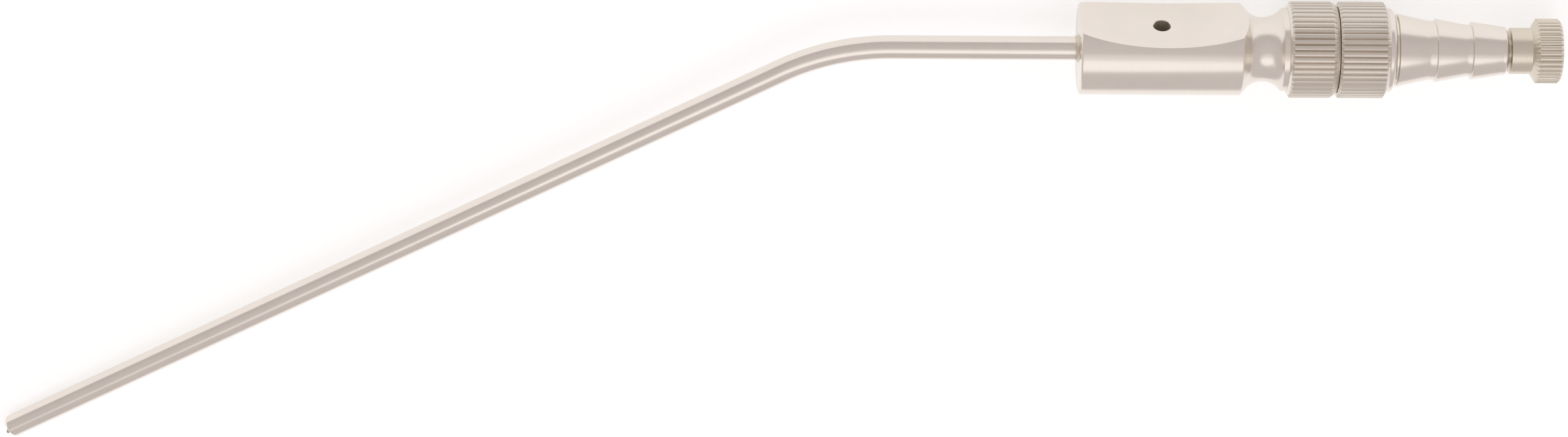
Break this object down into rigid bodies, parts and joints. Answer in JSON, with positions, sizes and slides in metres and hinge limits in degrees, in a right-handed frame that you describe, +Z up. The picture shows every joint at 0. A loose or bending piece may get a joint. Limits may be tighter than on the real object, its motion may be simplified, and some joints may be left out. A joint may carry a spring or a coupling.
{
  "type": "frazier suction tube",
  "caption": "Bent steel suction tube with a vented thumb-rest handle, a screw-on stepped hose connector and a cleaning stylet.",
  "frame": {"origin": "middle of the part's box, on the surface that it lies on", "axes": "+X along the handle, from the tube to the hose end; +Y the way the thumb rest faces, away from the bend; +Z up from the surface"},
  "size_m": [0.2016, 0.074, 0.0121],
  "materials": {
    "tube_steel": "fine satin, brushed along the tube",
    "silver_solder": "bright silver solder",
    "handle_steel": "satin brushed stainless steel",
    "seal_ring": "white fluoropolymer",
    "connector_steel": "satin turned stainless steel",
    "knob_steel": "satin turned stainless steel",
    "wire_steel": "drawn spring wire"
  },
  "bodies": {
    "handle": {"handle_grip": "handle_steel", "suction_tube": "tube_steel", "tube_solder": "silver_solder"},
    "seal": {"connector_seal": "seal_ring"},
    "connector": {"hose_connector": "connector_steel"},
    "stylet": {"stylet_wire": "wire_steel"},
    "knob": {"stylet_knob": "knob_steel"}
  },
  "joints": [
    {"name": "connector_advance", "type": "slide", "parent": "handle", "child": "seal", "axis": [1, 0, 0], "range_m": [0, 0.005]},
    {"name": "connector_unscrew", "type": "hinge", "parent": "seal", "child": "connector", "pos_m": [0.07249, 0.03092, 0.00607], "axis": [1, 0, 0], "range_deg": [0, 1800]},
    {"name": "stylet_pull", "type": "slide", "parent": "seal", "child": "stylet", "axis": [1, 0, 0], "range_m": [0, 0.198], "deforming": ["stylet_wire"]},
    {"name": "stylet_twist", "type": "hinge", "parent": "stylet", "child": "knob", "pos_m": [0.09444, 0.03092, 0.00607], "axis": [1, 0, 0], "continuous": true}
  ],
  "couplings": [
    {"joint": "connector_advance", "follows": "connector_unscrew", "m_per_rad": 0.00015915}
  ]
}
